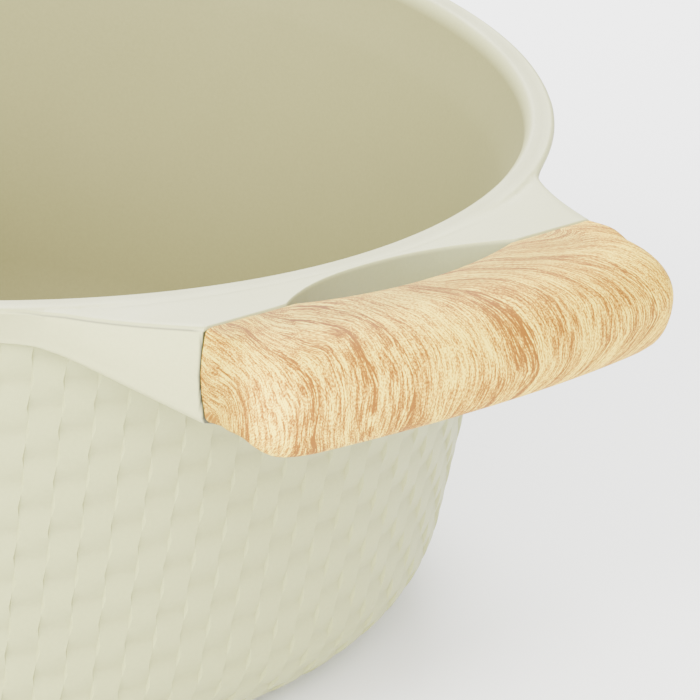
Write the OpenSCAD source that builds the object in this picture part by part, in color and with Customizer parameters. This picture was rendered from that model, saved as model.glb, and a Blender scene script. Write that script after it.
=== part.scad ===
// Two-handled cast saucepan with a domed glass lid.
// Origin: middle of the base's underside. +Z is up, the two handles are on +X and -X.
// The lid lies beside the pot on the surface that the pot stands on.
// The pot is one casting, drawn as two solids, wall and base, that meet on a level plane.

/* [Pot] */
// Radius of the mouth at the inner edge of the rim
mouth_r = 120; // [110:1:130]
// Width of the flat ring on top of the rim
lip_w = 4.6; // [4:0.1:6]
// Height from the base's underside to the rim
pot_h = 103; // [95:1:115]
// Slope of the side wall from vertical, in degrees
wall_taper = 8; // [5:0.5:10]
// Radius of the outer corner between wall and base
corner_r = 24; // [18:1:28]
// Thickness of the side wall
wall_t = 3; // [2.5:0.1:4]
// Thickness of the cast base
base_t = 5; // [4:0.5:7]
// Height of the smooth band below the rim
band_h = 7.5; // [6:0.1:12]

/* [Handles] */
// Distance from the pot's axis to the joint between bracket and grip
joint_x = 135.8; // [133:0.1:137]
// Half of the bracket's width at that joint
joint_half_w = 47.7; // [45:0.1:50]
// Height of the bracket's top above the rim at the joint
bracket_rise = 2.8; // [1:0.1:4]
// Depth of the bracket's underside below the rim at the joint
bracket_drop = 16.4; // [13:0.1:18]
// Radius of the concave sweep from the rim into the bracket
sweep_r = 50; // [40:1:60]
// Furthest reach of a grip from the pot's axis
grip_reach = 164.7; // [160:0.1:168]
// Half of a grip's width
grip_half_w = 50.8; // [49:0.1:53]
// Half of the finger gap's width
gap_half_w = 28; // [24:1:30]

/* [Lid] */
// Outer radius of the lid's steel band
lid_r = 123.6; // [120:0.1:124]
// Rise of the glass dome from its edge to its middle
dome_rise = 26; // [20:1:32]
// Thickness of the glass
glass_t = 4; // [3:0.5:5]
// Distance of the steam vent from the lid's middle
vent_offset = 70; // [55:1:85]
// Height of the knob's wood-effect body
knob_h = 25; // [20:1:30]
// Largest radius of the knob
knob_r = 20; // [16:1:24]

/* [Hidden] */
$fn = 96;

cream = [0.87, 0.86, 0.77];
wood = [0.90, 0.76, 0.54];
steel = [0.78, 0.78, 0.77];
brass = [0.80, 0.65, 0.35];
clear = [0.75, 0.86, 0.84, 0.45];
silicone = [0.86, 0.84, 0.76];

// --- pot profile: radii are from the pot's axis, heights from the base's underside
lip_r = mouth_r + lip_w;
lip_edge = 1.2;                 // height of the rounded outer edge of the rim
band_foot_r = 121.5;            // outer radius where the smooth band ends
wall_top_r = 119.7;             // outer radius of the patterned wall just below the band
wall_top_z = pot_h - band_h;
foot_gap = 0.3;                 // the cast base stands this much above the plate's face
slope = tan(wall_taper);
// the wall line r = wall_top_r - (wall_top_z - z) * slope meets the corner arc tangentially
corner_z = foot_gap + corner_r;
corner_x = wall_top_r - (wall_top_z - corner_z) * slope - corner_r / cos(wall_taper);
tangent_x = corner_x + corner_r * cos(wall_taper);
tangent_z = corner_z - corner_r * sin(wall_taper);
// inner surface
flare_h = 12;                   // the mouth flares over this height
inner_top_r = wall_top_r - wall_t - (flare_h - band_h) * slope;
inner_corner_r = corner_r - wall_t;
inner_floor_z = foot_gap + base_t;
inner_corner_z = inner_floor_z + inner_corner_r;
inner_corner_x = inner_top_r - (pot_h - flare_h - inner_corner_z) * slope
    - inner_corner_r / cos(wall_taper);
inner_tangent_x = inner_corner_x + inner_corner_r * cos(wall_taper);
inner_tangent_z = inner_corner_z - inner_corner_r * sin(wall_taper);

split_z = 24;                   // the plane between the wall's solid and the base's

// --- base plate
plate_r = 78;
plate_t = 1.6;
plate_gap = 0.15;               // clearance round the plate in its recess

// --- bracket: its sides are arcs of sweep_r that run out of the rim and end at the joint
sweep_bite = 1.5;               // how far inside the rim's edge the arcs start
joint_dist2 = joint_x * joint_x + joint_half_w * joint_half_w;
sweep_start_r = lip_r - sweep_bite;
sweep_dist = sweep_start_r + sweep_r;
sweep_k = (sweep_dist * sweep_dist + joint_dist2 - sweep_r * sweep_r) / 2;
sweep_root = sqrt(joint_dist2 * sweep_dist * sweep_dist - sweep_k * sweep_k);
sweep_x = (joint_x * sweep_k - joint_half_w * sweep_root) / joint_dist2;
sweep_y = (joint_half_w * sweep_k + joint_x * sweep_root) / joint_dist2;
rise_end = 134;                 // the top climbs from the rim to its full height by here
ring_step = 0.25;               // the rim ring stands this much above the bracket beside it
under_drop = 0.6;               // the bracket's underside starts this far below the band
gap_inner_x = 127.3;            // the pot's side of the finger gap
gap_corner_r = 14;

// --- lugs that the grips slide over
lug_l = 12;
lug_w = 12;
lug_h = 8;
lug_y = 38;
lug_z = pot_h - 6.2;
lug_screw_x = joint_x + 6.5;
fit = 0.15;                     // clearance round a lug in its pocket

// --- grip: the outer face is turned about grip_axis_x, so that it bows outward in plan
grip_bow = 7.05;                // how far the outer face's ends lie behind its middle
grip_turn_r = (grip_half_w * grip_half_w + grip_bow * grip_bow) / (2 * grip_bow);
grip_axis_x = grip_reach - grip_turn_r;
grip_corner_r = 8.6;
grip_corner_y = grip_half_w - grip_corner_r;
grip_corner_x = grip_axis_x
    + sqrt(pow(grip_turn_r - grip_corner_r, 2) - grip_corner_y * grip_corner_y);
grip_corner_a = asin(grip_corner_y / (grip_turn_r - grip_corner_r));
grip_top = pot_h + 3.4;
grip_bottom = pot_h - 16.3;
grip_belly = pot_h - 6.2;       // height of the widest level
grip_top_round = 5.7;           // how far the top edge lies inside the widest level
grip_foot_round = 6.9;
grip_flare_x = 146;             // the ends reach their full width here
gap_outer_x = 140.5;            // the grip's side of the finger gap, at its middle
gap_bow = gap_outer_x - joint_x;
gap_turn_r = (gap_half_w * gap_half_w + gap_bow * gap_bow) / (2 * gap_bow);

// --- grip screws, driven upward
screw_r = 2;
screw_head_r = 3.5;
screw_head_h = 2.2;
screw_l = 11;
sink_h = 3;                     // depth of the hole that hides the head
screw_play = 0.1;

// --- lid, in its own place with z = 0 on the standing surface
lid_y = -264;
lip_drop = 5.5;                 // the centring lip hangs this far below the seat
lip_outer_r = 117.2;
band_t = 0.8;
glass_edge_r = 121.2;
liner_t = 0.6;
seat_z = lip_drop + band_t;     // inner floor of the band's channel
channel_h = glass_t + 2 * liner_t + 1.4;
glass_edge_z = seat_z + liner_t;
dome_r = (glass_edge_r * glass_edge_r + dome_rise * dome_rise) / (2 * dome_rise);
dome_z = glass_edge_z + dome_rise - dome_r;   // centre of the dome's lower sphere
crown_z = glass_edge_z + dome_rise;           // underside of the glass at its middle
crown_top = crown_z + glass_t;
knob_hole_r = 4;
vent_hole_r = 4;
vent_a = asin(vent_offset / dome_r);
washer_t = 1.4;
collar_z = crown_top + washer_t;
collar_t = 4.2;
knob_z = collar_z + collar_t;
insert_r = 4;
insert_l = 13;
bolt_r = 2.45;
bolt_bore_r = 2.55;
bolt_head_r = 4.6;
bolt_head_h = 2.6;
bolt_reach = 11;                // how far the bolt runs into the insert

// ---------------------------------------------------------------- pot

module outer_profile() {
    polygon([[0, foot_gap], [corner_x, foot_gap], [tangent_x, tangent_z],
             [wall_top_r, wall_top_z], [band_foot_r, wall_top_z],
             [lip_r, pot_h - lip_edge], [lip_r - lip_edge / 2, pot_h], [0, pot_h]]);
    translate([corner_x, corner_z]) circle(corner_r);
}

module inner_profile() {
    polygon([[0, inner_floor_z], [inner_corner_x, inner_floor_z],
             [inner_tangent_x, inner_tangent_z], [inner_top_r, pot_h - flare_h],
             [mouth_r - 0.4, pot_h - 1], [mouth_r, pot_h], [mouth_r, pot_h + 10], [0, pot_h + 10]]);
    translate([inner_corner_x, inner_corner_z]) circle(inner_corner_r);
}

// Half-plane r >= 0, for profiles that are turned round the axis
module turn(profile_h = 400) {
    rotate_extrude($fn = 180) intersection() {
        translate([0, -profile_h / 2]) square([300, profile_h]);
        children();
    }
}

module bracket_plan() {
    start_x = sweep_x * sweep_start_r / sweep_dist;
    start_y = sweep_y * sweep_start_r / sweep_dist;
    difference() {
        polygon([[60, -35], [start_x, -start_y], [joint_x, -joint_half_w],
                 [joint_x, joint_half_w], [start_x, start_y], [60, 35]]);
        for (s = [-1, 1]) translate([sweep_x, s * sweep_y]) circle(sweep_r);
    }
}

module finger_notch() {
    translate([gap_inner_x, -gap_corner_r, pot_h - 40]) cube([30, 2 * gap_corner_r, 60]);
    for (s = [-1, 1]) translate([gap_inner_x + gap_corner_r, s * gap_corner_r, pot_h - 40])
        cylinder(r = gap_corner_r, h = 60);
}

// Side view of the bracket: the underside falls away from the band towards the joint
module bracket_side() {
    translate([0, 100, 0]) rotate([90, 0, 0]) linear_extrude(200)
        polygon([[60, wall_top_z - under_drop], [107, wall_top_z - under_drop],
                 [joint_x, pot_h - bracket_drop], [joint_x, pot_h + bracket_rise],
                 [60, pot_h + bracket_rise]]);
}

module lug(side) {
    translate([joint_x - 2, side * lug_y - lug_w / 2, lug_z - lug_h / 2])
        cube([lug_l + 2, lug_w, lug_h]);
}

module bracket() {
    difference() {
        union() {
            difference() {
                intersection() {
                    translate([0, 0, pot_h - 30]) linear_extrude(50) bracket_plan();
                    bracket_side();
                }
                // the top climbs gently from the rim ring to the joint
                turn() polygon([[0, pot_h - ring_step], [lip_r, pot_h - ring_step],
                                [rise_end, pot_h + bracket_rise],
                                [rise_end, pot_h + 20], [0, pot_h + 20]]);
                finger_notch();
            }
            for (s = [-1, 1]) lug(s);
        }
        for (s = [-1, 1]) translate([lug_screw_x, s * lug_y, lug_z - lug_h])
            cylinder(r = screw_r + screw_play / 2, h = lug_h * 2, $fn = 32);
    }
}

module slab(z, h) {
    translate([0, z]) square([300, h]);
}

module pot_wall() {
    color(cream) difference() {
        union() {
            turn() intersection() { outer_profile(); slab(split_z, 200); }
            for (s = [0, 180]) rotate([0, 0, s]) bracket();
        }
        turn() inner_profile();
    }
}

module pot_base() {
    color(cream) difference() {
        turn() intersection() { outer_profile(); slab(0, split_z); }
        turn() inner_profile();
        translate([0, 0, -1]) cylinder(r = plate_r + plate_gap, h = 1 + plate_t, $fn = 180);
    }
}

module induction_base_plate() {
    color(steel) cylinder(r = plate_r, h = plate_t, $fn = 180);
}

// ---------------------------------------------------------------- grips

module grip_plan() {
    polygon(concat(
        [[joint_x, -joint_half_w], [grip_flare_x, -grip_half_w], [grip_corner_x, -grip_half_w],
         [grip_axis_x + grip_turn_r * cos(grip_corner_a), -grip_turn_r * sin(grip_corner_a)],
         [grip_reach, -20], [grip_reach, 20],
         [grip_axis_x + grip_turn_r * cos(grip_corner_a), grip_turn_r * sin(grip_corner_a)],
         [grip_corner_x, grip_half_w], [grip_flare_x, grip_half_w], [joint_x, joint_half_w]]));
    for (s = [-1, 1]) translate([grip_corner_x, s * grip_corner_y]) circle(grip_corner_r);
}

// Half section of the turned grip body, with radii measured from grip_axis_x
module grip_section() {
    w = grip_turn_r;
    polygon([[w - 40, grip_bottom], [w - grip_foot_round, grip_bottom],
             [w - grip_foot_round * 0.45, grip_bottom + 1.6],
             [w - grip_foot_round * 0.12, grip_bottom + 4.6], [w, grip_belly],
             [w - grip_top_round * 0.13, grip_belly + 4.9],
             [w - grip_top_round * 0.48, grip_belly + 8.2], [w - grip_top_round, grip_top],
             [w - 40, grip_top]]);
}

module grip() {
    color(wood) difference() {
        intersection() {
            translate([grip_axis_x, 0, 0]) rotate_extrude($fn = 360) grip_section();
            translate([0, 0, grip_bottom - 5]) linear_extrude(40) grip_plan();
        }
        // the finger gap's outer side
        translate([gap_outer_x - gap_turn_r, 0, 0]) cylinder(r = gap_turn_r, h = 200, $fn = 180);
        for (s = [-1, 1]) {
            translate([joint_x - 1, s * lug_y - lug_w / 2 - fit, lug_z - lug_h / 2 - fit])
                cube([lug_l + 1 + fit, lug_w + 2 * fit, lug_h + 2 * fit]);
            translate([lug_screw_x, s * lug_y, grip_bottom - 1]) {
                cylinder(r = screw_r + screw_play, h = 12, $fn = 32);
                cylinder(r = screw_head_r + screw_play, h = 1 + sink_h, $fn = 32);
            }
        }
    }
}

module grip_right() { grip(); }
module grip_left() { rotate([0, 0, 180]) grip(); }

// Countersunk head with a cross recess, driven up into a lug
module grip_screws() {
    color(steel) for (s = [-1, 1])
        translate([lug_screw_x, s * lug_y, grip_bottom + sink_h - screw_head_h]) difference() {
            union() {
                cylinder(r = screw_head_r, h = screw_head_h, $fn = 32);
                cylinder(r = screw_r, h = screw_l, $fn = 32);
            }
            for (a = [0, 90]) rotate([0, 0, a]) translate([-2, -0.4, -1]) cube([4, 0.8, 2.2]);
        }
}

module grip_screws_right() { grip_screws(); }
module grip_screws_left() { rotate([0, 0, 180]) grip_screws(); }

// ---------------------------------------------------------------- lid

module at_lid() { translate([0, lid_y, 0]) children(); }

// A frame on the dome at the vent, with +Z square to the glass and 0 at the sphere's centre
module at_vent() { translate([0, lid_y, dome_z]) rotate([0, vent_a, 0]) children(); }

module lid_glass() {
    color(clear) difference() {
        at_lid() turn(900) difference() {
            intersection() {
                translate([0, dome_z]) circle(dome_r + glass_t, $fn = 360);
                translate([0, 0]) square([glass_edge_r, 100]);
            }
            translate([0, dome_z]) circle(dome_r, $fn = 360);
        }
        at_lid() cylinder(r = knob_hole_r, h = 100, $fn = 48);
        at_vent() translate([0, 0, dome_r - 5]) cylinder(r = vent_hole_r, h = 15, $fn = 48);
    }
}

// Channel round the glass edge, with the centring lip hanging from its inner side
module lid_rim_band() {
    top = seat_z + channel_h;
    color(steel) at_lid() turn() polygon([
        [lip_outer_r - band_t, 0], [lip_outer_r, 0], [lip_outer_r, lip_drop],
        [lid_r - 0.6, lip_drop], [lid_r, lip_drop + 0.6], [lid_r, top + band_t - 0.6],
        [lid_r - 0.6, top + band_t], [116.6, top + band_t + 0.7], [116.6, top + 0.7],
        [lid_r - band_t, top], [lid_r - band_t, seat_z], [lip_outer_r - band_t, seat_z]]);
}

module rim_liner() {
    color(silicone) at_lid() turn() polygon([
        [118.2, seat_z], [lid_r - band_t, seat_z], [lid_r - band_t, glass_edge_z + glass_t],
        [glass_edge_r, glass_edge_z + glass_t], [glass_edge_r, glass_edge_z - 0.05],
        [118.2, glass_edge_z - 0.05]]);
}

module steam_vent_eyelet() {
    color(steel) at_vent() difference() {
        union() {
            translate([0, 0, dome_r - 1.2]) cylinder(r = vent_hole_r - 0.7, h = glass_t + 2.8, $fn = 48);
            translate([0, 0, dome_r + glass_t + 0.8]) cylinder(r = 6.6, h = 0.8, $fn = 48);
            translate([0, 0, dome_r - 1.2]) cylinder(r = 5.2, h = 0.8, $fn = 48);
        }
        translate([0, 0, dome_r - 5]) cylinder(r = 2.6, h = 20, $fn = 48);
    }
}

module vent_washer() {
    color(silicone) at_vent() difference() {
        union() {
            translate([0, 0, dome_r + glass_t + 0.1]) cylinder(r = 7.2, h = 0.7, $fn = 48);
            translate([0, 0, dome_r - 0.4]) cylinder(r = vent_hole_r - 0.05, h = glass_t + 0.6, $fn = 48);
        }
        translate([0, 0, dome_r - 5]) cylinder(r = vent_hole_r - 0.65, h = 20, $fn = 48);
    }
}

module lid_knob() {
    color(wood) at_lid() translate([0, 0, knob_z]) difference() {
        turn() {
            polygon([[0, 0], [11.5, 0], [12.2, 5], [14.5, 10], [knob_r - 1.2, 14.5], [knob_r, 18],
                     [knob_r - 0.8, 21.2], [knob_r - 3.6, 23.4], [10, knob_h - 0.5], [0, knob_h]]);
        }
        translate([0, 0, -1]) cylinder(r = insert_r, h = insert_l + 1, $fn = 48);
    }
}

module knob_collar() {
    color(steel) at_lid() translate([0, 0, collar_z]) difference() {
        turn() polygon([[0, 0], [13, 0], [16.5, 2.2], [17.2, collar_t], [0, collar_t]]);
        translate([0, 0, -1]) cylinder(r = bolt_bore_r + 0.2, h = collar_t + 2, $fn = 48);
    }
}

module knob_insert() {
    color(brass) at_lid() translate([0, 0, knob_z]) difference() {
        cylinder(r = insert_r, h = insert_l, $fn = 48);
        translate([0, 0, -1]) cylinder(r = bolt_bore_r, h = insert_l, $fn = 48);
    }
}

module ring(z, outer, inner, h) {
    at_lid() translate([0, 0, z]) difference() {
        cylinder(r = outer, h = h, $fn = 48);
        translate([0, 0, -1]) cylinder(r = inner, h = h + 2, $fn = 48);
    }
}

module upper_knob_washer() {
    color(silicone) ring(crown_top, 12, bolt_bore_r + 0.3, washer_t);
}

module lower_knob_washer() {
    color(silicone) ring(crown_z - 0.25 - washer_t, 9, bolt_bore_r + 0.3, washer_t);
}

module screw_washer() {
    color(steel) ring(crown_z - 0.25 - washer_t - 1, 7.5, bolt_bore_r + 0.2, 1);
}

module knob_screw() {
    head_z = crown_z - 0.25 - washer_t - 1 - bolt_head_h;
    color(steel) at_lid() translate([0, 0, head_z]) difference() {
        union() {
            cylinder(r = bolt_head_r, h = bolt_head_h, $fn = 48);
            cylinder(r = bolt_r, h = knob_z + bolt_reach - head_z, $fn = 48);
        }
        for (a = [0, 90]) rotate([0, 0, a]) translate([-2.6, -0.5, -1]) cube([5.2, 1, 2.4]);
    }
}

pot_wall();
pot_base();
induction_base_plate();
grip_right();
grip_left();
grip_screws_right();
grip_screws_left();
lid_glass();
lid_rim_band();
rim_liner();
steam_vent_eyelet();
vent_washer();
lid_knob();
knob_collar();
knob_insert();
upper_knob_washer();
lower_knob_washer();
screw_washer();
knob_screw();
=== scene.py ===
"""Two-handled cream saucepan with wood-effect grips, and its glass lid lying beside it.

Lengths in this script are millimetres, and become metres only where a mesh or a light is made.
The pot stands on z = 0 with its axis on Z, and its two handles are on +X and -X.
"""
import math

import bmesh
import bpy
import numpy as np
from mathutils import Matrix, Vector


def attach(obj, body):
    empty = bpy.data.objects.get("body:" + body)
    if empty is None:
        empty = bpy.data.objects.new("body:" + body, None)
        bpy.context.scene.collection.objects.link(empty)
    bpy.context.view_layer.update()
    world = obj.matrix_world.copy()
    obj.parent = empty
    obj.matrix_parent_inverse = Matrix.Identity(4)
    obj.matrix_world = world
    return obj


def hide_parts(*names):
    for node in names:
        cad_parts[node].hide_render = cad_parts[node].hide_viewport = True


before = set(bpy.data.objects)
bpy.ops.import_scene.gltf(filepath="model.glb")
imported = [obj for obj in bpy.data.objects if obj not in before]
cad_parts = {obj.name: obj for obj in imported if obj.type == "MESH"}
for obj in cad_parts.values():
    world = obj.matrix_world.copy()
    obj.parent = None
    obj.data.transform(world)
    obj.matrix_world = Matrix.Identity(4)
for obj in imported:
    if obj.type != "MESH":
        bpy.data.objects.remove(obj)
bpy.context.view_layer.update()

MM = 0.001

# ------------------------------------------------------------------ measures shared with the CAD

mouth_r = 120.0
lip_r = 124.6
pot_h = 103.0
wall_slope = math.radians(8)
wall_t = 3.0
corner_r = 24.0
foot_gap = 0.3              # the casting's underside stands this far above the table
base_t = 5.0
band_h = 7.5                # the smooth band between the rim's top and the weave
wall_top_r = 119.7
wall_top_z = pot_h - band_h
flare_h = 12.0              # the inside widens towards the mouth over this height
plate_t = 1.6

joint_x = 135.8             # the plane where a bracket meets its grip
joint_half_w = 47.7
bracket_rise = 2.8
bracket_drop = 16.4
gap_inner_x = 127.3         # the pot's side of the finger gap
gap_half_w = 28.0
gap_outer_x = 140.5         # the grip's side of the finger gap, at its middle

grip_reach = 164.7
grip_half_w = 50.8
grip_bow = 7.05
grip_corner_r = 8.6
grip_top = pot_h + 3.4
grip_belly = pot_h - 6.2    # the grip's widest level

lid_y = -264.0
crown_top = 36.9            # top of the glass at its middle
knob_z = crown_top + 5.6
knob_h = 25.0

# ------------------------------------------------------------------ measures of this model alone

recess_r = 78.15            # the recess in the base, just clear of the plate
mouth_edge = 1.3            # radius of the edge between the inside and the rim's top
ring_in_r = 119.6           # where the rim's flat ring starts
ring_out_r = 123.3          # where it starts to run out over the bracket
lip_edge = 0.8              # radius of the rim's outer edge
band_draft = 3.4            # how far the band leans in from the rim's edge to its foot
band_foot = 0.45            # radius of the band's lower edge

flank_slope = 0.5
flank_fillet = 2.2          # softness of the corner between the rim and a bracket's side
flank_angle = math.radians(29.5)    # about where that corner is
flank_limit = math.radians(50)      # past this angle the outline is the plain rim
bracket_draft = 1.0
bracket_foot_r = 2.0
joint_edge = 0.35
joint_gap = 0.45
gap_edge = 0.35
flank_bulge = 0.9           # how far the bracket's and the grip's sides swell below the top edge
climb_from = 113.0          # distance from the axis where the bracket's top starts to climb
fall_from = 106.0           # distance from the axis where the bracket's underside starts to fall
fall_round = 3.0            # softness of that bend
gap_end_y = 28.3            # half of the finger gap's length, at its tips
gap_point = 2.3             # the gap's outline is a power curve; a higher power gives rounder tips

grip_bottom = pot_h - 16.2
crown_bend = 4.4            # squareness of the grip's section above its belly
foot_bend = 10.0            # and below it
grip_edge = 1.3             # radius of the grip's top edge where it meets the bracket
grip_step = 1.2             # at the joint its underside stands this far above the bracket's
grip_blend = 13.0           # its section turns from the bracket's to its own over this length
lobe_len = 9.0              # and the lobe under each corner then drops over this length
arch_h = 1.7                # rise of the underside in the middle
arch_half_w = 42.0
gap_sink = 0.8              # how far the crown sinks towards the finger gap

# ------------------------------------------------------------------ look

sky_strength = 1.43
light_distance = 2.2
key_power = 116
fill_power = 105
back_power = 125
band_colour = (0.437, 0.44, 0.203)
weave_colour = (0.378, 0.39, 0.167)
# painted shade: the weave's tiles darken towards their creases, by this colour and share
crease_shade_colour = (0.25, 0.245, 0.10)
crease_shade_share = 0.3
# the inside's own beige tone, darkened with painted shade
inner_tone_and_shade = (0.215, 0.205, 0.086)
# painted shade: past 1 the inside grows darker than the inner colour, towards the floor
deep_shade_share = 1.22           # share of the inner colour at the bottom; it is 1 near the mouth
# painted shade on the walls of the finger gaps
gap_shade_colour = (0.25, 0.275, 0.155)
# painted shade: near black on the hidden face in each joint's gap, and along the flanks' top edges
shade_line_colour = (0.06, 0.06, 0.03)

grain_turn = 6.7            # the lines' corners are centred this far left of the middle, in cm
# growth rings on the wood print: place along the grip, width and strength
grain_bands = [(-5.6, 0.5, 0.30), (-4.66, 0.3, 0.30), (-4.31, 0.9, 0.62), (-3.7, 0.3, 0.25),
               (-3.12, 0.4, 0.66), (-2.40, 0.6, 0.55), (0.52, 1.5, 0.70), (1.40, 0.35, 0.30),
               (2.6, 0.8, 0.22), (4.13, 1.0, 0.55)]
wood_tones = [(0.0, (1.0, 0.77, 0.07)), (0.2, (0.88, 0.59, 0.040)), (0.45, (0.62, 0.35, 0.024)),
              (0.7, (0.42, 0.20, 0.016)), (1.0, (0.24, 0.095, 0.012))]
# painted shade on the grip's top, with a bluish painted reflection
wood_top_shade = (0.75, 0.77, 1.25)


# ------------------------------------------------------------------ mesh helpers

def add_mesh(name, verts, faces, uv=None, smooth_angle=35):
    """A mesh object from points in millimetres. uv holds one pair of centimetres for each vertex."""
    mesh = bpy.data.meshes.new(name)
    mesh.from_pydata((np.asarray(verts, float) * MM).tolist(), [], faces)
    mesh.validate()
    mesh.update()
    if uv is not None:
        layer = mesh.uv_layers.new(name="grain")
        corner = np.zeros(len(mesh.loops), int)
        mesh.loops.foreach_get("vertex_index", corner)
        layer.data.foreach_set("uv", np.asarray(uv, float)[corner].ravel())
    obj = bpy.data.objects.new(name, mesh)
    bpy.context.collection.objects.link(obj)
    mesh.polygons.foreach_set("use_smooth", [True] * len(mesh.polygons))
    if smooth_angle:
        mesh.set_sharp_from_angle(angle=math.radians(smooth_angle))
    return obj


def outward(obj):
    """Turns every face's normal outward."""
    bm = bmesh.new()
    bm.from_mesh(obj.data)
    bmesh.ops.recalc_face_normals(bm, faces=bm.faces)
    bm.to_mesh(obj.data)
    bm.free()
    return obj


def loft_faces(rows, columns):
    """Quads between neighbouring rows of a grid whose columns close on themselves."""
    index = np.arange(rows * columns).reshape(rows, columns)
    a = index[:-1]
    b = index[1:]
    quads = np.stack([a, np.roll(a, -1, 1), np.roll(b, -1, 1), b], -1)
    return quads.reshape(-1, 4).tolist()


def cap_faces(first, last, rows, columns):
    """Triangles that close such a grid at its first and last row, each round one middle point."""
    top = (rows - 1) * columns
    faces = []
    for i in range(columns):
        j = (i + 1) % columns
        faces.append([first, j, i])
        faces.append([last, top + i, top + j])
    return faces


def revolve(name, profile, segments=192, smooth_angle=40):
    """A solid turned round the lid's axis, from (radius, height) points that start and end on it."""
    r, z = np.array(profile, float).T
    turn = np.arange(segments) * 2 * math.pi / segments
    ring = r[1:-1, None]
    grid = np.stack([ring * np.cos(turn), lid_y + ring * np.sin(turn), z[1:-1, None] + 0 * turn], -1)
    rows = len(ring)
    verts = grid.reshape(-1, 3).tolist() + [[0, lid_y, z[0]], [0, lid_y, z[-1]]]
    faces = loft_faces(rows, segments)
    faces += cap_faces(len(verts) - 2, len(verts) - 1, rows, segments)
    return outward(add_mesh(name, verts, faces, smooth_angle=smooth_angle))


def smoothstep(x):
    x = np.clip(x, 0, 1)
    return x * x * (3 - 2 * x)


# ------------------------------------------------------------------ pot body

# Each side of a bracket is a straight flank that runs from the joint's corner back to the rim, and
# meets it in a small fillet. It is a line at distance flank_reach from the axis.
flank_normal = math.atan2(1, flank_slope)
flank_reach = (flank_slope * joint_x + joint_half_w) / math.hypot(1, flank_slope)

joint_angle = math.atan2(joint_half_w, joint_x)
gap_end_angle = math.atan2(gap_end_y, joint_x)


def outline(a, inset, joint_inset, gap_inset):
    """Outer radius of rim and bracket at angle a from the nearer handle's axis.

    Each inset moves one part of the outline inward: the rim and the bracket's sides, the face
    that meets the grip, and the pot's side of the finger gap."""
    rim = lip_r - inset + 0 * a
    side = (flank_reach - inset) / np.cos(a - flank_normal)
    radius = (rim + side + np.sqrt((rim - side) ** 2 + flank_fillet ** 2)) / 2
    radius = np.where(a < flank_limit, radius, rim)
    # both limits below are straight across the handle, so they only hold near its axis
    near = np.minimum(a, 1.4)
    face = (joint_x - joint_inset) / np.cos(near)
    radius = np.minimum(radius, np.where(a < 1.4, face, np.inf))
    near = np.minimum(a, 1.0)
    gap = 0 * a + gap_inner_x
    # the gap's curve is x against y, so its radius at an angle is found step by step
    for _ in range(12):
        bow = (joint_x - gap_inner_x) * (gap * np.sin(near) / gap_end_y) ** gap_point
        gap = (gap_inner_x - gap_inset + bow) / np.cos(near)
    return np.minimum(radius, np.where(a < gap_end_angle + 0.02, gap, np.inf))


def bracket_top(r, a):
    """Height of the top: the rim ring, a shallow crease, then the climb to the grip."""
    along = np.clip((r * np.cos(a) - climb_from) / (joint_x - climb_from), 0, 1)
    climb = bracket_rise * along ** 1.5 * smoothstep((r - 123.4) / 3.0)
    crease = 0.3 * np.exp(-((r - lip_r - 0.5) / 0.6) ** 2)
    return pot_h + climb - np.where(r > lip_r - 0.6, crease, 0)


def underside(x):
    """Height of the bracket's underside at distance x along the handle's axis."""
    run = joint_x - fall_from
    fall = (wall_top_z - (pot_h - bracket_drop)) / run
    t = (x - fall_from) / fall_round
    ramp = fall_round * np.where(t > 20, t, np.log1p(np.exp(np.minimum(t, 20))))
    return wall_top_z - fall * ramp * run / (run + 0.01)


# weave: tall tiles in columns, each column half a tile lower than the one beside it
weave_columns = 122
weave_pitch = 2 * math.pi / weave_columns
weave_start = math.radians(-28.94)
tile_h = 10.4
tile_rows = 10
tile_depth = 0.68
tile_offset = 9.0
tile_wall = 0.16          # width of a tile's side where it stands highest, as a share of half its width
weave_fade_from = 0.72    # share of the lower corner's arc where the relief starts to fade
weave_fade_to = 0.97


def tile_crown(s, parity):
    """Height of a column's tiles, from 0 in the creases to 1, at depth s."""
    v = ((s - tile_offset + parity * tile_h / 2) / tile_h) % 1.0
    return np.sin(math.pi * v ** 0.86) ** 0.9


def weave(theta, s):
    """Relief at angle theta and depth s. A tile's sides slope down to the lower column beside it."""
    column = (theta - weave_start) / weave_pitch
    k = np.floor(column + 1e-7)
    u = np.abs(2 * (column - k) - 1)
    parity = (k + 1) % 2
    own = tile_crown(s, parity)
    beside = tile_crown(s, 1 - parity)
    slope = beside + np.maximum(1 - u, 0) / tile_wall
    return np.where(own > beside, np.minimum(own, slope), own)


def wall_point(s):
    """The outer wall at distance s below the band: its radius, height and outward normal (two
    values), how much of the relief is left there, and the whole length down to the underside."""
    corner_z = foot_gap + corner_r
    corner_x = (wall_top_r - (wall_top_z - corner_z) * math.tan(wall_slope)
                - corner_r / math.cos(wall_slope))
    straight = (wall_top_z - corner_z + corner_r * math.sin(wall_slope)) / math.cos(wall_slope)
    a = np.clip((s - straight) / corner_r, 0, math.pi / 2 - wall_slope) + wall_slope
    on_wall = s < straight
    r = np.where(on_wall, wall_top_r - s * math.sin(wall_slope), corner_x + corner_r * np.cos(a))
    z = np.where(on_wall, wall_top_z - s * math.cos(wall_slope), corner_z - corner_r * np.sin(a))
    a = np.where(on_wall, wall_slope, a)
    arc = corner_r * (math.pi / 2 - wall_slope)
    past = (s - straight) / arc - weave_fade_from
    fade = 1 - smoothstep(past / (weave_fade_to - weave_fade_from))
    return r, z, np.cos(a), -np.sin(a), fade, straight + arc


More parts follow.
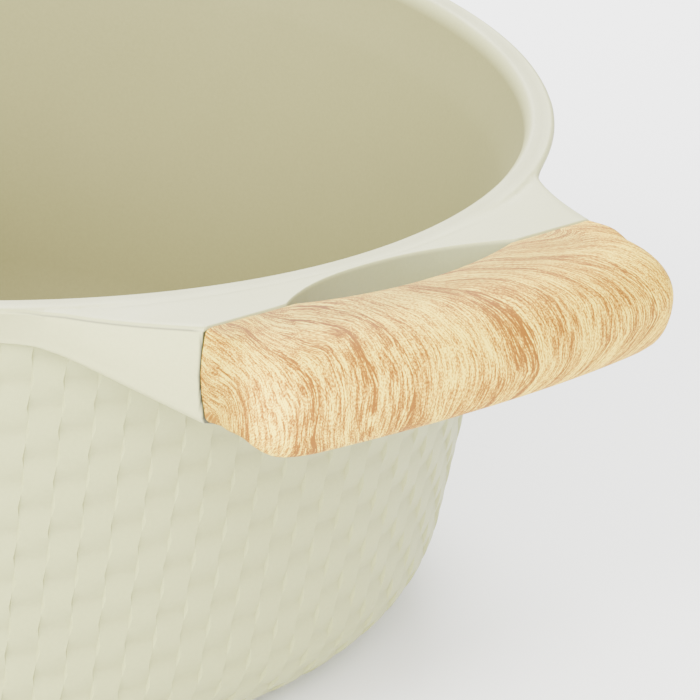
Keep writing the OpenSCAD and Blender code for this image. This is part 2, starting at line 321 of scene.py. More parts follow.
def weave_lines(s):
    """Angles of the four mesh lines of each weave column at depth s: its left edge, the top of its
    left side, its middle and the top of its right side. With no depth, they stand at rest."""
    k = np.arange(weave_columns)
    wall = np.full(weave_columns, 0.5 * tile_wall)
    if s is not None:
        parity = (k + 1) % 2
        rise = tile_crown(s, parity) - tile_crown(s, 1 - parity)
        wall = tile_wall * np.clip(rise, 0.05, 1)
    u = np.stack([np.full(weave_columns, -1.0), -1 + wall, 0 * wall, 1 - wall], 1)
    return (weave_start + weave_pitch * (k[:, None] + (u + 1) / 2)).ravel()


def pot_angles():
    """Angles of the mesh's columns at rest: the weave's own lines and those the brackets need."""
    lines = weave_lines(None)
    step = math.radians(0.2)
    corners = [0.3 * gap_end_angle, 0.6 * gap_end_angle, gap_end_angle, gap_end_angle - 0.0008,
               joint_angle, joint_angle - 0.0009, joint_angle + 0.0016,
               joint_angle + 0.0045, flank_angle]
    corners += [gap_end_angle - step * i for i in range(1, 11)]
    corners += [joint_angle - 0.003 * i for i in range(1, 5)]
    extra = [handle + side * c for c in corners for handle in (0, math.pi) for side in (-1, 1)]
    extra = weave_start + np.mod(np.array(extra) - weave_start, 2 * math.pi)
    # one that all but falls on a weave line would leave a sliver, so it is left out
    distance = np.abs(extra[:, None] - lines[None, :]).min(1)
    return np.sort(np.r_[lines, extra[distance > 3e-4]])


def pot_body():
    """The casting, as rings of points from the middle of its floor, over the rim, down the outside
    and back to the middle of its underside. Its marks steer the material."""
    theta = pot_angles()
    a = np.arctan2(np.abs(np.sin(theta)), np.abs(np.cos(theta)))
    rows = []
    marks = []

    def row(r, z, relief=0.0, crease=0.0, inside=0.0, gap=0.0, shade_line=0.0, at=theta):
        rows.append((r + 0 * theta, z + 0 * theta, at))
        marks.append([mark + 0 * theta for mark in (relief, crease, inside, gap, shade_line)])

    # inside, from the middle of the floor to the mouth
    floor_z = foot_gap + base_t
    in_r = corner_r - wall_t
    in_z = floor_z + in_r
    top_r = wall_top_r - wall_t - (flare_h - band_h) * math.tan(wall_slope)
    in_x = top_r - (pot_h - flare_h - in_z) * math.tan(wall_slope) - in_r / math.cos(wall_slope)
    # painted shade: the inner colour is pushed darker on the floor and the lower wall, and eases back
    # to its own value up the wall
    for r in (25, 55, in_x - 8, in_x):
        row(r, floor_z, inside=deep_shade_share)
    for t in np.linspace(-math.pi / 2, -wall_slope, 9)[1:]:
        row(in_x + in_r * math.cos(t), in_z + in_r * math.sin(t), inside=deep_shade_share)
    wall_low = in_z - in_r * math.sin(wall_slope)
    for z in np.linspace(wall_low, pot_h - flare_h - 4, 7)[1:]:
        deep = (pot_h - flare_h - z) / (pot_h - flare_h - wall_low)
        row(top_r - (pot_h - flare_h - z) * math.tan(wall_slope), z,
            inside=1 + (deep_shade_share - 1) * deep)
    for z in np.linspace(pot_h - flare_h - 2, pot_h - 1.4, 8):
        flare = np.clip((z - (pot_h - flare_h - 4)) / (flare_h + 4), 0, 1)
        straight = top_r - (pot_h - flare_h - z) * math.tan(wall_slope)
        row(straight + (ring_in_r - 0.05 - straight) * flare ** 1.7, z,
            inside=1 - smoothstep((z - (pot_h - 2.6)) / 2.2))
    # painted reflection: the mouth's edge and the rim's ring take a little of the inner colour, for
    # warm light thrown up from the inside
    for t in (25, 50, 75, 90):
        t = math.radians(t)
        row(ring_in_r + mouth_edge * (1 - math.cos(t)), pot_h - mouth_edge * (1 - math.sin(t)),
            inside=0.26)

    # the ring on top of the rim, running out over the bracket
    # painted reflection of the inside on the ring
    row(122.2, pot_h, inside=0.26)
    row(ring_out_r, pot_h, inside=0.1)
    lead = lip_r - lip_edge - ring_out_r
    target = outline(a, lip_edge, joint_edge, gap_edge)
    beyond = np.maximum(target - (lip_r - lip_edge), 0)
    spread = [0.03, 0.07, 0.12, 0.18, 0.26, 0.36, 0.5, 0.68, 0.86, 1.0]
    for i, share in enumerate(spread):
        r = ring_out_r + lead * (i + 1) / len(spread) + beyond * share
        row(r, bracket_top(r, a))
    crown_z = bracket_top(target, a)
    # painted shade: the finger gap's walls take the gap colour
    gap_shade = 1 - smoothstep((a - gap_end_angle) / 0.02)

    def shade_line(r):
        """1 on the hidden face that meets the grip, which is painted near black as the shade in the
        joint's gap.
        """
        return np.where((a > gap_end_angle + 0.002) & (r * np.cos(a) > joint_x - 0.02), 1.0, 0.0)

    # the dark line that the photo shows along the top edge of each flank
    edge_end = smoothstep((a - flank_angle + 0.03) / 0.1)
    # painted shade: a thin dark line along the flank's top edge, carried by the shade line mark
    edge_shade_line = 0.8 * smoothstep((a - joint_angle) / 0.01) * (1 - edge_end)
    for t in (22, 45, 68, 90):
        c = math.cos(math.radians(t))
        s = math.sin(math.radians(t))
        r = outline(a, lip_edge * (1 - s), joint_edge * (1 - s), gap_edge * (1 - s))
        line = edge_shade_line if t == 68 else 0
        row(r, crown_z - lip_edge * (1 - c), gap=gap_shade * s ** 2, shade_line=np.maximum(shade_line(r), line))

    # the band and the bracket's sides
    bracket_share = 1 - smoothstep((a - math.radians(21)) / math.radians(13))
    draft = band_draft + (bracket_draft - band_draft) * bracket_share
    foot_r = band_foot + (bracket_foot_r - band_foot) * bracket_share
    bottom_r = outline(a, draft + foot_r, 0.0, 0.0)
    bottom_z = underside(bottom_r * np.cos(a))
    side_top = crown_z - lip_edge
    side_low = bottom_z + foot_r
    bulge = flank_bulge * bracket_share
    for f in (0.18, 0.36, 0.54, 0.7, 0.85, 1.0):
        r = outline(a, draft * f ** 0.85 - bulge * math.sin(math.pi * f), 0.0, 0.0)
        row(r, side_top + (side_low - side_top) * f, gap=gap_shade, shade_line=shade_line(r))
    for t in (22, 45, 68, 90):
        c = math.cos(math.radians(t))
        s = math.sin(math.radians(t))
        r = outline(a, draft + foot_r * (1 - c), 0.0, 0.0)
        row(r, side_low - foot_r * s, gap=gap_shade, shade_line=shade_line(r))

    # the underside back to the wall
    meet_z = underside(wall_top_r * np.cos(a)) - 0.1
    meet_s = (wall_top_z - meet_z) / math.cos(wall_slope)
    meet_r = wall_point(meet_s)[0] - tile_depth
    for f in (0.3, 0.65, 1.0):
        row(bottom_r + (meet_r - bottom_r) * f, bottom_z + (meet_z - bottom_z) * f)

    # the woven wall
    length = wall_point(np.zeros(1))[5]
    step = tile_h / tile_rows
    first = tile_offset % step
    rest = np.r_[weave_lines(None), weave_start + 2 * math.pi]
    for i, s0 in enumerate(np.arange(first, length, step)):
        moved = np.r_[weave_lines(s0), weave_start + 2 * math.pi]
        at = np.interp(theta, rest, moved)
        s = np.maximum(s0, meet_s + 0.05 * (i + 1))
        r, z, nr, nz, fade, _ = wall_point(s)
        height = weave(at, s)
        sunk = tile_depth * (1 - height) * fade
        # the crease mark paints shade into the weave's creases
        row(r - nr * sunk, z - nz * sunk, relief=1, crease=(1 - height) * fade, at=at)

    # the underside of the base, with the recess for the plate
    foot_x = wall_point(np.array([length]))[0][0]
    row(foot_x, foot_gap)
    row(recess_r + 0.4, foot_gap)
    row(recess_r, foot_gap + 0.3)
    for r in (recess_r, 55, 25):
        row(r, plate_t)

    r = np.array([p[0] for p in rows])
    z = np.array([p[1] for p in rows])
    at = np.array([p[2] for p in rows])
    grid = np.stack([r * np.cos(at), r * np.sin(at), z], -1).reshape(-1, 3)
    count, columns = r.shape
    verts = grid.tolist() + [[0, 0, floor_z], [0, 0, plate_t]]
    faces = loft_faces(count, columns)
    faces += cap_faces(len(verts) - 2, len(verts) - 1, count, columns)
    obj = add_mesh("pot_casting", verts, faces, smooth_angle=32)
    for i, name in enumerate(("relief", "crease", "inside", "gap", "shade_line")):
        values = np.array([m[i] for m in marks]).ravel()
        ends = [deep_shade_share, 0.0] if name == "inside" else [0.0, 0.0]
        layer = obj.data.attributes.new(name, "FLOAT", "POINT")
        layer.data.foreach_set("value", np.r_[values, ends].astype(np.float32))
    return obj


# ------------------------------------------------------------------ grips

def grip_outlines(count):
    """The grip's outer and inner edges in plan, as matching rows of points from -Y to +Y."""
    turn_r = (grip_half_w ** 2 + grip_bow ** 2) / (2 * grip_bow)
    axis_x = grip_reach - turn_r
    corner_y = grip_half_w - grip_corner_r
    corner_x = axis_x + math.sqrt((turn_r - grip_corner_r) ** 2 - corner_y ** 2)
    end_a = math.asin(corner_y / (turn_r - grip_corner_r))
    half = []
    for t in np.linspace(0, end_a, 60)[:-1]:
        half.append((axis_x + turn_r * math.cos(t), turn_r * math.sin(t)))
    for t in np.linspace(end_a, math.pi / 2, 24)[:-1]:
        half.append((corner_x + grip_corner_r * math.cos(t),
                     corner_y + grip_corner_r * math.sin(t)))
    span = corner_x - joint_x - joint_gap
    for t in np.linspace(0, 1, 24):
        x = corner_x - span * t
        sag = (grip_half_w - joint_half_w) * t ** 1.3
        half.append((x, grip_half_w - sag))
    half = np.array(half)
    run = np.r_[0, np.cumsum(np.hypot(*np.diff(half, axis=0).T))]
    at = np.linspace(0, run[-1], count)
    side = np.stack([np.interp(at, run, half[:, 0]), np.interp(at, run, half[:, 1])], 1)
    outer = np.r_[side[::-1] * (1, -1), side[1:]]
    run = np.r_[-at[::-1], at[1:]]
    # inner edge: the gap's arc between two straight faces on the bracket
    y = (joint_half_w - bracket_foot_r - 0.2) * np.sign(run) * np.abs(run / run[-1]) ** 1.12
    gap_turn = (gap_half_w ** 2 + (gap_outer_x - joint_x) ** 2) / (2 * (gap_outer_x - joint_x))
    dip = np.sqrt(np.maximum(gap_turn ** 2 - y ** 2, 0)) + gap_outer_x - gap_turn
    inner = np.stack([np.maximum(dip, joint_x + joint_gap), y], 1)
    return outer, inner, run


def arc_spaced(x, z, count):
    """The same curve with its points at equal distances."""
    run = np.r_[0, np.cumsum(np.hypot(np.diff(x), np.diff(z)))]
    at = np.linspace(0, run[-1], count)
    return np.interp(at, run, x), np.interp(at, run, z)


def grip(name, side):
    """One grip, at +X or turned round to -X, with the grain's map in centimetres on its surface."""
    outer, inner, run = grip_outlines(70)
    n = len(outer)
    width = np.linalg.norm(outer - inner, axis=1)
    # the section is a broad round crown along the outer face, and tightens to the bracket's own
    # section at both ends
    reach = outer[:, 0] - joint_x
    soft = smoothstep(reach / grip_blend)
    top_z = pot_h + bracket_rise + (grip_top - pot_h - bracket_rise) * soft
    # underneath it rises from the joint, drops to a lobe at the corner, and arches in the middle
    lift = grip_step * (1 + np.clip(reach / 5, 0, 1))
    ramp = lift * (1 - smoothstep((reach - grip_blend) / lobe_len))
    arch = arch_h * (1 - np.minimum((outer[:, 1] / arch_half_w) ** 2, 1))
    foot_z = pot_h - bracket_drop + ramp + (grip_bottom - pot_h + bracket_drop) * soft + arch * soft
    side_top = top_z - grip_edge - (grip_top - grip_belly - grip_edge) * soft
    side_foot = foot_z + bracket_foot_r + (grip_belly - foot_z - bracket_foot_r) * soft
    gap_drop = gap_sink * np.minimum(width / 12, 1)
    step = np.gradient(outer, axis=0)
    normal = np.stack([step[:, 1], -step[:, 0]], 1) / np.linalg.norm(step, axis=1)[:, None]
    draft = bracket_draft * (1 - soft)

    def section(rows, bend, rise, edge_r, sides):
        """Plan points and heights, from 0 to 1, of one quarter of the section, outer edge first.

        At the ends it is flat with a round edge; along the outer face it is a superellipse."""
        turn = np.linspace(0, math.pi / 2, 90)
        x, z = arc_spaced(np.cos(turn) ** (2 / bend), np.sin(turn) ** (2 / rise), rows)
        arc = np.minimum(np.linspace(0, 1.8, rows), 1) * math.pi / 2
        flat = np.maximum(np.linspace(-1.25, 1, rows), 0)
        for i in range(rows):
            broad = inner + (sides - inner) * x[i]
            edge = sides - normal * (edge_r * (1 - math.cos(arc[i])))
            tight = edge + (inner - edge) * flat[i]
            mixed = tight + (broad - tight) * soft[:, None]
            yield mixed, math.sin(arc[i]) + (z[i] - math.sin(arc[i])) * soft

    rows = []
    for plan, up in section(22, crown_bend, 2.1, grip_edge, outer):
        share = np.linalg.norm(plan - inner, axis=1) / np.maximum(width, 1)
        # the crown sinks a little again towards the finger gap
        sink = gap_drop * np.maximum(0, 1 - share / 0.16) ** 2.2
        rows.append(np.column_stack([plan, side_top + (top_z - side_top) * up - sink]))
    rows.reverse()
    for f in (0.25, 0.5, 0.75):
        swell = flank_bulge * math.sin(math.pi * f) * (1 - soft)
        flank = outer - normal * (draft * f ** 0.85 - swell)[:, None]
        rows.append(np.column_stack([flank, side_top + (side_foot - side_top) * f]))
    for plan, down in section(20, foot_bend, 2.0, bracket_foot_r, outer - normal * draft[:, None]):
        rows.append(np.column_stack([plan, side_foot - (side_foot - foot_z) * down]))
    outside = len(rows)
    for f in (0.04, 0.25, 0.5, 0.75, 0.96):
        rows.append(np.column_stack([inner, foot_z + (top_z - gap_drop - foot_z) * f]))

    grid = np.array(rows)
    down = np.linalg.norm(np.diff(grid, axis=0), axis=2)
    down = np.vstack([np.zeros(n), np.cumsum(down, axis=0)])
    level = [np.interp(-grip_belly, -grid[:outside, k, 2], down[:outside, k]) for k in range(n)]
    grain = np.stack([run + 0 * down, down - np.array(level)], -1)
    count = len(rows)
    index = np.arange(count * n).reshape(count, n)
    below = np.roll(index, -1, 0)
    quads = np.stack([index[:, :-1], index[:, 1:], below[:, 1:], below[:, :-1]], -1)
    faces = quads.reshape(-1, 4).tolist() + [index[:, 0].tolist(), index[::-1, -1].tolist()]
    verts = grid.reshape(-1, 3)
    if side < 0:
        verts = verts * (-1, -1, 1)
    return outward(add_mesh(name, verts, faces, uv=grain.reshape(-1, 2) * 0.1, smooth_angle=45))


# ------------------------------------------------------------------ lid knob

def knob():
    """Wood-effect knob: a waisted foot that swells to a soft shoulder under a shallow crown."""
    heights = np.linspace(0, 1, 26)
    swell = 11.5 + 8.4 * smoothstep((heights - 0.12) / 0.62)
    shoulder = np.sqrt(np.maximum(1 - np.clip((heights - 0.72) / 0.28, 0, 1) ** 2.4, 0))
    side = [(r * (0.55 + 0.45 * k), knob_z + knob_h * 0.94 * h)
            for r, h, k in zip(swell, heights, shoulder)]
    crown = [(11 * math.cos(t), knob_z + knob_h * (0.94 + 0.06 * math.sin(t)))
             for t in np.linspace(0, math.pi / 2, 8)[1:-1]]
    bore = [(0.0, knob_z + 14.5), (4.2, knob_z + 14.5), (4.2, knob_z + 0.5), (4.8, knob_z)]
    outline_points = bore + [(10.9, knob_z), (11.4, knob_z + 0.4)] + side[1:] + crown
    obj = revolve("knob_wood", outline_points + [(0.0, knob_z + knob_h)], smooth_angle=50)
    mesh = obj.data
    layer = mesh.uv_layers.new(name="grain")
    for loop in mesh.loops:
        x, y, z = mesh.vertices[loop.vertex_index].co / MM
        layer.data[loop.index].uv = (0.1 * x, 0.09 * (y - lid_y) - 0.07 * (z - knob_z) + 0.6)
    return obj


# ------------------------------------------------------------------ camera

camera_distance = 8.109 * mouth_r
camera_lens = 257
camera_elevation = math.radians(19.21)
camera_azimuth = math.radians(-90 + 49.92)
camera_pan = math.radians(-5.54)
camera_tilt = math.radians(-2.912)
camera_roll = math.radians(-4.642)


def add_camera():
    """The camera looks at the middle of the mouth, then pans, tilts and rolls to the right grip."""
    cos_e = math.cos(camera_elevation)
    offset = Vector((math.cos(camera_azimuth) * cos_e, math.sin(camera_azimuth) * cos_e,
                     math.sin(camera_elevation)))
    forward = -offset
    right = Vector((-math.sin(camera_azimuth), math.cos(camera_azimuth), 0))
    up = right.cross(forward)
    pan = Matrix.Rotation(camera_pan, 3, "Z")
    forward, right, up = pan @ forward, pan @ right, pan @ up
    tilt = Matrix.Rotation(camera_tilt, 3, right)
    forward, up = tilt @ forward, tilt @ up
    roll = Matrix.Rotation(camera_roll, 3, forward)
    right, up = roll @ right, roll @ up
    data = bpy.data.cameras.new("camera")
    data.sensor_width = 36
    data.lens = camera_lens
    data.clip_end = 50
    camera = bpy.data.objects.new("camera", data)
    bpy.context.collection.objects.link(camera)
    place = offset * camera_distance * MM + Vector((0, 0, pot_h * MM))
    turn = Matrix((right, up, -forward)).transposed().to_4x4()
    camera.matrix_world = Matrix.Translation(place) @ turn
    bpy.context.scene.camera = camera


# ------------------------------------------------------------------ floor and light

def add_area(name, azimuth, elevation, size, energy):
    """A round soft light in the given direction from the pot, aimed at it."""
    data = bpy.data.lights.new(name, "AREA")
    data.shape = "DISK"
    data.size = size
    data.energy = energy
    lamp = bpy.data.objects.new(name, data)
    bpy.context.collection.objects.link(lamp)
    around = Matrix.Rotation(math.radians(azimuth), 3, "Z")
    lift = Matrix.Rotation(math.radians(-elevation), 3, "Y")
    away = around @ lift @ Vector((light_distance, 0, 0))
    lamp.location = away
    lamp.rotation_euler = (-away).to_track_quat("-Z", "Y").to_euler()


def add_stage():
    size = 6000
    corners = [(-size, -size, 0), (size, -size, 0), (size, size, 0), (-size, size, 0)]
    floor = add_mesh("floor", corners, [[0, 1, 2, 3]], smooth_angle=0)
    floor.data.materials.append(floor_material())
    world = bpy.data.worlds.new("studio")
    world.use_nodes = True
    sky = world.node_tree.nodes["Background"]
    sky.inputs["Color"].default_value = (1, 1, 1, 1)
    sky.inputs["Strength"].default_value = sky_strength
    bpy.context.scene.world = world
    add_area("key", -90, 30, 1.3, key_power)
    add_area("fill", -45, 30, 1.5, fill_power)
    add_area("back", 147, 38, 1.6, back_power)


# ------------------------------------------------------------------ materials

class Graph:
    """One material's shader tree. Each call adds a node and returns its output socket."""

    def __init__(self, name):
        self.material = bpy.data.materials.new(name)
        self.material.use_nodes = True
        self.tree = self.material.node_tree
        self.shader = self.tree.nodes["Principled BSDF"]

    def put(self, socket, value):
        if isinstance(value, bpy.types.NodeSocket):
            self.tree.links.new(value, socket)
        else:
            socket.default_value = value

    def add(self, kind, settings, *inputs):
        node = self.tree.nodes.new(kind)
        for key, value in settings.items():
            setattr(node, key, value)
        for key, value in inputs:
            self.put(node.inputs[key], value)
        return node

    def set(self, **inputs):
        for key, value in inputs.items():
            self.put(self.shader.inputs[key.replace("_", " ")], value)

    def math(self, operation, *values):
        node = self.add("ShaderNodeMath", {"operation": operation})
        for socket, value in zip(node.inputs, values):
            self.put(socket, value)
        return node.outputs[0]

    def spread(self, value, low, high, to_low=0.0, to_high=1.0, smooth=False):
        kind = "SMOOTHSTEP" if smooth else "LINEAR"
        return self.add("ShaderNodeMapRange", {"interpolation_type": kind, "clamp": True},
                        ("Value", value), ("From Min", low), ("From Max", high),
                        ("To Min", to_low), ("To Max", to_high)).outputs[0]

    def mix(self, share, a, b, blend="MIX"):
        node = self.add("ShaderNodeMix", {"data_type": "RGBA", "blend_type": blend,
                                          "clamp_factor": False})
        self.put(node.inputs[0], share)
        self.put(node.inputs[6], a if isinstance(a, bpy.types.NodeSocket) else (*a, 1))
        self.put(node.inputs[7], b if isinstance(b, bpy.types.NodeSocket) else (*b, 1))
        return node.outputs[2]

    def place(self):
        return self.add("ShaderNodeTexCoord", {}).outputs["Object"]

    def split(self, vector):
        return self.add("ShaderNodeSeparateXYZ", {}, ("Vector", vector)).outputs

    def join(self, x, y, z=0.0):
        return self.add("ShaderNodeCombineXYZ", {}, ("X", x), ("Y", y), ("Z", z)).outputs[0]

    def noise(self, vector, scale, detail=2.0, roughness=0.5):
        return self.add("ShaderNodeTexNoise", {}, ("Vector", vector), ("Scale", scale),
                        ("Detail", detail), ("Roughness", roughness)).outputs[0]

    def attribute(self, name):
        return self.add("ShaderNodeAttribute", {"attribute_name": name}).outputs["Fac"]

    def bump(self, height, strength, distance):
        node = self.add("ShaderNodeBump", {}, ("Height", height), ("Strength", strength),
                        ("Distance", distance))
        self.set(Normal=node.outputs[0])


def floor_material():
    g = Graph("floor_pale")
    tone = g.spread(g.noise(g.place(), 3.0), 0.3, 0.7, 0.96, 0.99)
    g.set(Base_Color=g.mix(1.0, (0.97, 0.97, 0.975), tone, "MULTIPLY"), Roughness=0.95)
    g.put(g.shader.inputs["Specular IOR Level"], 0.1)
    return g.material


def coating_material():
    """Cream ceramic coating: satin, faintly mottled, with painted shade in the relief's creases, the
    finger gaps and the joints; inside it has its own beige tone, darkened with painted shade.
    """
    g = Graph("ceramic_cream")
    at = g.place()
    body = g.mix(g.attribute("relief"), band_colour, weave_colour)
    # painted shade towards the weave's creases
    body = g.mix(g.math("MULTIPLY", g.attribute("crease"), crease_shade_share), body, crease_shade_colour)
    # the inside: its own beige tone with painted shade, deepest at the bottom; on the rim's ring a
    # little of it is a painted reflection
    colour = g.mix(g.attribute("inside"), body, inner_tone_and_shade)
    # painted shade in the finger gaps
    colour = g.mix(g.attribute("gap"), colour, gap_shade_colour)
    # painted shade in the joints' gaps and along the flanks' top edges
    colour = g.mix(g.attribute("shade_line"), colour, shade_line_colour)
    cloud = g.spread(g.noise(at, 22.0, 3.0, 0.6), 0.3, 0.7, 0.975, 1.02)
    grain = g.spread(g.noise(at, 1500.0, 2.0, 0.6), 0.3, 0.7, 0.97, 1.03)
    colour = g.mix(1.0, colour, g.math("MULTIPLY", cloud, grain), "MULTIPLY")
    sheen = g.spread(g.attribute("inside"), 0.2, 1.0)
    satin = g.spread(g.noise(at, 60.0), 0.3, 0.7, 0.46, 0.54)
    g.set(Base_Color=colour, Roughness=g.math("ADD", satin, g.math("MULTIPLY", sheen, 0.25)))
    g.put(g.shader.inputs["Specular IOR Level"], g.spread(sheen, 0.0, 1.0, 0.45, 0.15))
    g.bump(g.noise(at, 900.0, 2.0, 0.55), 0.10, 0.0003)
    return g.material


def wood_material(name, shift=0.0):
    """Printed wood grain, drawn on the grain map in centimetres: x runs along the grip from its
    middle, y runs from the grip's widest level down its front (up and over the top is negative).
    Lines run slantwise over the top, turn over the edge, cross the front and bend back below."""
    g = Graph(name)
    grain_map = g.add("ShaderNodeUVMap", {"uv_map": "grain"}).outputs[0]
    u, v, _ = g.split(grain_map)
    # round the near end the lines are nested corners that turn from the end face down the front
    across = g.math("MAXIMUM", g.math("ADD", u, grain_turn), 0.0)
    above = g.math("MULTIPLY", g.math("MAXIMUM", g.math("SUBTRACT", 0.6, v), 0.0), 1.1)
    cubes = g.math("ADD", g.math("POWER", across, 3.0), g.math("POWER", above, 3.0))
    line = g.math("SUBTRACT", g.math("POWER", cubes, 1 / 3), grain_turn)
    # past the crown they run off along the top
    over = g.math("SUBTRACT", -2.05, v)
    over = g.math("MULTIPLY", g.math("ADD", over, g.math("SQRT", g.math("ADD", g.math(
        "MULTIPLY", over, over), 0.05))), 0.8)
    line = g.math("ADD", line, g.math("MULTIPLY", over, g.spread(u, -3.0, 0.0)))
    # in the middle they lean, and under the belly they bend back
    lean = g.math("MULTIPLY", g.spread(u, 0.2, 1.6), g.spread(u, 1.8, 3.6, 1.0, 0.0))
    line = g.math("SUBTRACT", line, g.math("MULTIPLY", lean, g.spread(v, -1.7, 0.0, 0.5, 0.0)))
    under = g.math("POWER", g.math("MAXIMUM", g.math("SUBTRACT", v, 0.05), 0.0), 1.3)
    line = g.math("ADD", line, g.math("MULTIPLY", under, g.spread(u, -2.0, 4.5, 0.0, 1.6)))
    sway = g.math("MULTIPLY", g.math("SUBTRACT", g.noise(g.join(u, v), 0.7, 1.0), 0.5), 0.45)
    line = g.math("ADD", g.math("ADD", line, shift), sway)
    along = g.math("ADD", v, g.math("MINIMUM", g.math("ADD", u, 4.6), 0.0))

    def streaks(across, length, low, high, detail=1.0):
        at = g.join(g.math("MULTIPLY", line, across), g.math("MULTIPLY", along, length))
        return g.spread(g.noise(at, 1.0, detail, 0.55), low, high)

    def hairs(across, length, sharpness):
        """Long thin lines, where a stretched noise passes through its middle value."""
        at = g.join(g.math("MULTIPLY", line, across), g.math("MULTIPLY", along, length), 3.7)
        off = g.math("ABSOLUTE", g.math("SUBTRACT", g.noise(at, 1.0, 1.0, 0.5), 0.5))
        return g.math("MAXIMUM", g.math("SUBTRACT", 1.0, g.math("MULTIPLY", off, sharpness)), 0.0)

    # growth rings: dark bands, each sharp on its right side and fading to the left
    dark = 0.0
    for place, width, depth in grain_bands:
        offset = g.math("SUBTRACT", line, place)
        rise = g.math("POWER", g.spread(offset, -width, 0.0), 1.6)
        fall = g.spread(offset, 0.0, 0.07, 1.0, 0.0, True)
        edge = g.math("MULTIPLY", g.spread(offset, -0.11, -0.03, 0.0, 0.5, True), fall)
        ring = g.math("ADD", g.math("MULTIPLY", g.math("MULTIPLY", rise, fall), 0.55), edge)
        dark = g.math("MAXIMUM", dark, g.math("MULTIPLY", ring, depth))
    wide = streaks(1.1, 0.25, 0.35, 0.68)
    medium = streaks(3.4, 0.40, 0.40, 0.64, 2.0)
    broken = streaks(3.0, 1.6, 0.38, 0.56)
    hair = hairs(8.0, 0.4, 13.0)
    breaks = g.math("ADD", 0.25, g.math("MULTIPLY", broken, 0.75))
    hair = g.math("MULTIPLY", hair, breaks)
    hair = g.math("MAXIMUM", hair, g.math("MULTIPLY", hairs(16.0, 0.9, 8.0), 0.8))
    fibre = streaks(22.0, 2.6, 0.44, 0.58)
    speck = streaks(34.0, 20.0, 0.43, 0.57)
    tone = g.math("MULTIPLY", wide, 0.20)
    for part, share in ((medium, 0.16), (hair, 0.40), (fibre, 0.24), (speck, 0.30)):
        tone = g.math("ADD", tone, g.math("MULTIPLY", part, share))
    grit = g.math("ADD", 0.06, g.math("ADD", g.math("MULTIPLY", fibre, 0.45),
                                      g.math("MULTIPLY", hair, 0.55)))
    tone = g.math("ADD", tone, g.math("MULTIPLY", dark, grit))
    tone = g.math("SUBTRACT", g.math("MULTIPLY", tone, 1.65), 0.54)
    ramp = g.add("ShaderNodeValToRGB", {}, ("Fac", tone))
    stops = ramp.color_ramp.elements
    while len(stops) < len(wood_tones):
        stops.new(0.5)
    for stop, (at, colour) in zip(stops, wood_tones):
        stop.position = at
        stop.color = (*colour, 1)
    # painted shade on the top, with a bluish painted reflection
    top = g.spread(v, -2.5, -1.6, 1.0, 0.0, True)
    colour = g.mix(top, ramp.outputs[0], wood_top_shade, "MULTIPLY")
    # painted shade on the grip's end at the low end of the grain map
    colour = g.mix(1.0, colour, g.spread(u, -6.4, -5.0, 0.72, 1.0, True), "MULTIPLY")
    g.set(Base_Color=colour, Roughness=0.6)
    g.put(g.shader.inputs["Specular IOR Level"], 0.06)
    g.bump(g.math("ADD", fibre, speck), 0.12, 0.0002)
    return g.material


def steel_material(name, tone=(0.62, 0.62, 0.61), roughness=0.28, turned=None):
    """Brushed steel. Its brush marks run round the axis through `turned`, or along X."""
    g = Graph(name)
    g.set(Metallic=1.0)
    x, y, z = g.split(g.place())
    if turned is None:
        marks = g.join(g.math("MULTIPLY", x, 40.0), g.math("MULTIPLY", y, 2500.0),
                       g.math("MULTIPLY", z, 2500.0))
    else:
        dx = g.math("SUBTRACT", x, turned[0])
        dy = g.math("SUBTRACT", y, turned[1])
        squares = g.math("ADD", g.math("MULTIPLY", dx, dx), g.math("MULTIPLY", dy, dy))
        radius = g.math("SQRT", squares)
        angle = g.math("ARCTAN2", dy, dx)
        marks = g.join(g.math("MULTIPLY", radius, 3000.0), g.math("MULTIPLY", angle, 3.0),
                       g.math("MULTIPLY", z, 3000.0))
    brush = g.noise(marks, 1.0, 3.0, 0.6)
    g.set(Base_Color=g.mix(g.spread(brush, 0.3, 0.7), tuple(0.86 * c for c in tone), tone),
          Roughness=g.spread(brush, 0.3, 0.7, roughness * 0.8, roughness * 1.25))
    g.bump(brush, 0.06, 0.0001)
    return g.material


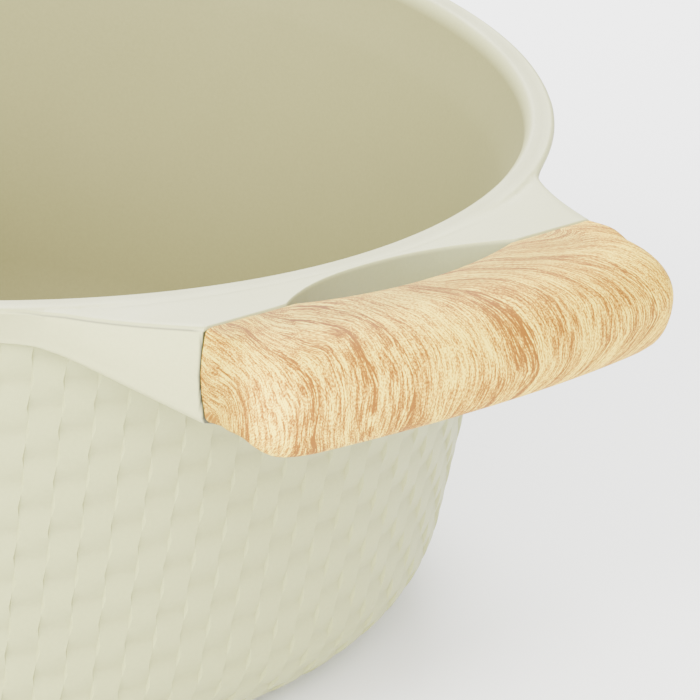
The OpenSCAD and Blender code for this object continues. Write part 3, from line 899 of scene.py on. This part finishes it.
def glass_material():
    g = Graph("clear_glass")
    ripple = g.noise(g.place(), 35.0, 1.0)
    tint = g.mix(g.spread(ripple, 0.3, 0.7), (0.955, 0.985, 0.975), (0.97, 0.99, 0.985))
    g.set(Base_Color=tint, Roughness=0.02, IOR=1.5)
    g.put(g.shader.inputs["Transmission Weight"], 1.0)
    g.bump(ripple, 0.02, 0.0005)
    return g.material


def soft_material(name, colour, roughness):
    """Matt moulded rubber or plain metal with a fine even grain."""
    g = Graph(name)
    grain = g.noise(g.place(), 1800.0, 2.0)
    g.set(Base_Color=g.mix(g.spread(grain, 0.3, 0.7), tuple(0.93 * c for c in colour), colour),
          Roughness=roughness)
    g.bump(grain, 0.08, 0.0001)
    return g.material


# ------------------------------------------------------------------ assembly

def piece(obj, body, nodes, material):
    """Puts a piece made here on its body, in place of the CAD nodes that it stands for."""
    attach(obj, body)
    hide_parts(*nodes)
    obj.data.materials.append(material)


def dress(node, material):
    """Gives a CAD solid that is shown as it is its finish."""
    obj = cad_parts[node]
    obj.data.materials.clear()
    obj.data.materials.append(material)


piece(outward(pot_body()), "pot", ["pot_wall", "pot_base"], coating_material())
for name, side, shift in (("right", 1, 0.0), ("left", -1, 3.7)):
    piece(grip("wood_grip_" + name, side), "pot", ["grip_" + name],
          wood_material("wood_" + name, shift))

dress("induction_base_plate", steel_material("steel_plate", turned=(0, 0)))
screws = steel_material("plated_screw", (0.7, 0.7, 0.7), 0.2)
for node in ("grip_screws_right", "grip_screws_left", "knob_screw", "screw_washer"):
    dress(node, screws)
lid_steel = steel_material("steel_lid", turned=(0, lid_y * MM))
for node in ("lid_rim_band", "knob_collar", "steam_vent_eyelet"):
    dress(node, lid_steel)
dress("lid_glass", glass_material())
rubber = soft_material("silicone_cream", (0.72, 0.68, 0.52), 0.6)
for node in ("rim_liner", "vent_washer", "upper_knob_washer", "lower_knob_washer"):
    dress(node, rubber)
dress("knob_insert", steel_material("brass_plain", (0.72, 0.52, 0.22), 0.3))
piece(knob(), "lid", ["lid_knob"], wood_material("wood_knob", 1.9))

add_stage()
add_camera()
